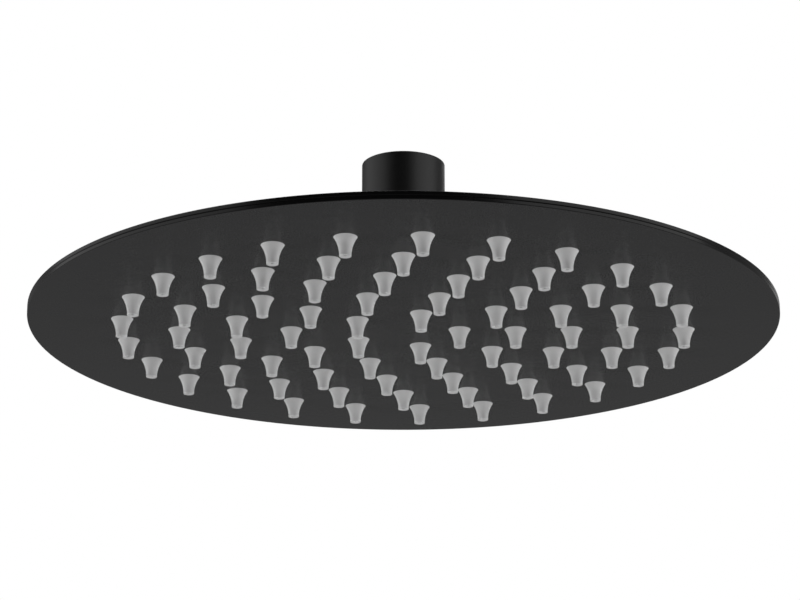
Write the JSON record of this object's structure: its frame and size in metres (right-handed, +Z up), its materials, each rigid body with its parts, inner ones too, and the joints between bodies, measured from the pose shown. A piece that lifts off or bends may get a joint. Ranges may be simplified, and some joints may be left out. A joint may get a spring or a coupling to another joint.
{
  "type": "overhead rain shower head",
  "caption": "Slim round overhead rain shower head with rings of soft silicone nozzles below and a ball swivel under a plain threaded inlet collar.",
  "frame": {"origin": "on the inlet axis at the collar's mouth, where the arm's pipe end enters", "axes": "+Z up along the inlet axis, out of the collar's mouth; +X through the first nozzle of each ring"},
  "size_m": [0.25, 0.25, 0.0649],
  "materials": {
    "black_sheet": "satin black coat",
    "black_brass": "satin black coat on brass",
    "silicone": "translucent grey",
    "black_rubber": "matte",
    "acetal": "matte",
    "steel": "plain"
  },
  "bodies": {
    "collar": {"inlet_collar": "black_brass", "ball_stem": "black_brass", "stem_o_ring": "black_rubber", "inlet_washer": "black_rubber", "filter_screen": "steel", "flow_regulator": "acetal", "regulator_ring": "black_rubber"},
    "liner": {"slip_liner": "acetal"},
    "seal": {"ball_seal": "black_rubber", "seal_backing_ring": "acetal"},
    "head": {"face_plate": "black_sheet", "back_plate": "black_sheet", "stay_posts": "steel", "inlet_stub": "black_brass", "ball_nut": "black_brass", "nozzles_ring_1": "silicone", "nozzles_ring_2": "silicone", "nozzles_ring_3": "silicone", "nozzles_ring_4": "silicone", "nozzles_ring_5": "silicone"}
  },
  "joints": [
    {"name": "tilt_x", "type": "hinge", "parent": "collar", "child": "liner", "pos_m": [0, 0, -0.0337], "axis": [1, 0, 0], "range_deg": [-12, 12]},
    {"name": "tilt_y", "type": "hinge", "parent": "liner", "child": "seal", "pos_m": [0, 0, -0.0337], "axis": [0, 1, 0], "range_deg": [-12, 12]},
    {"name": "spin", "type": "hinge", "parent": "seal", "child": "head", "pos_m": [0, 0, -0.0337], "axis": [0, 0, 1], "continuous": true}
  ]
}
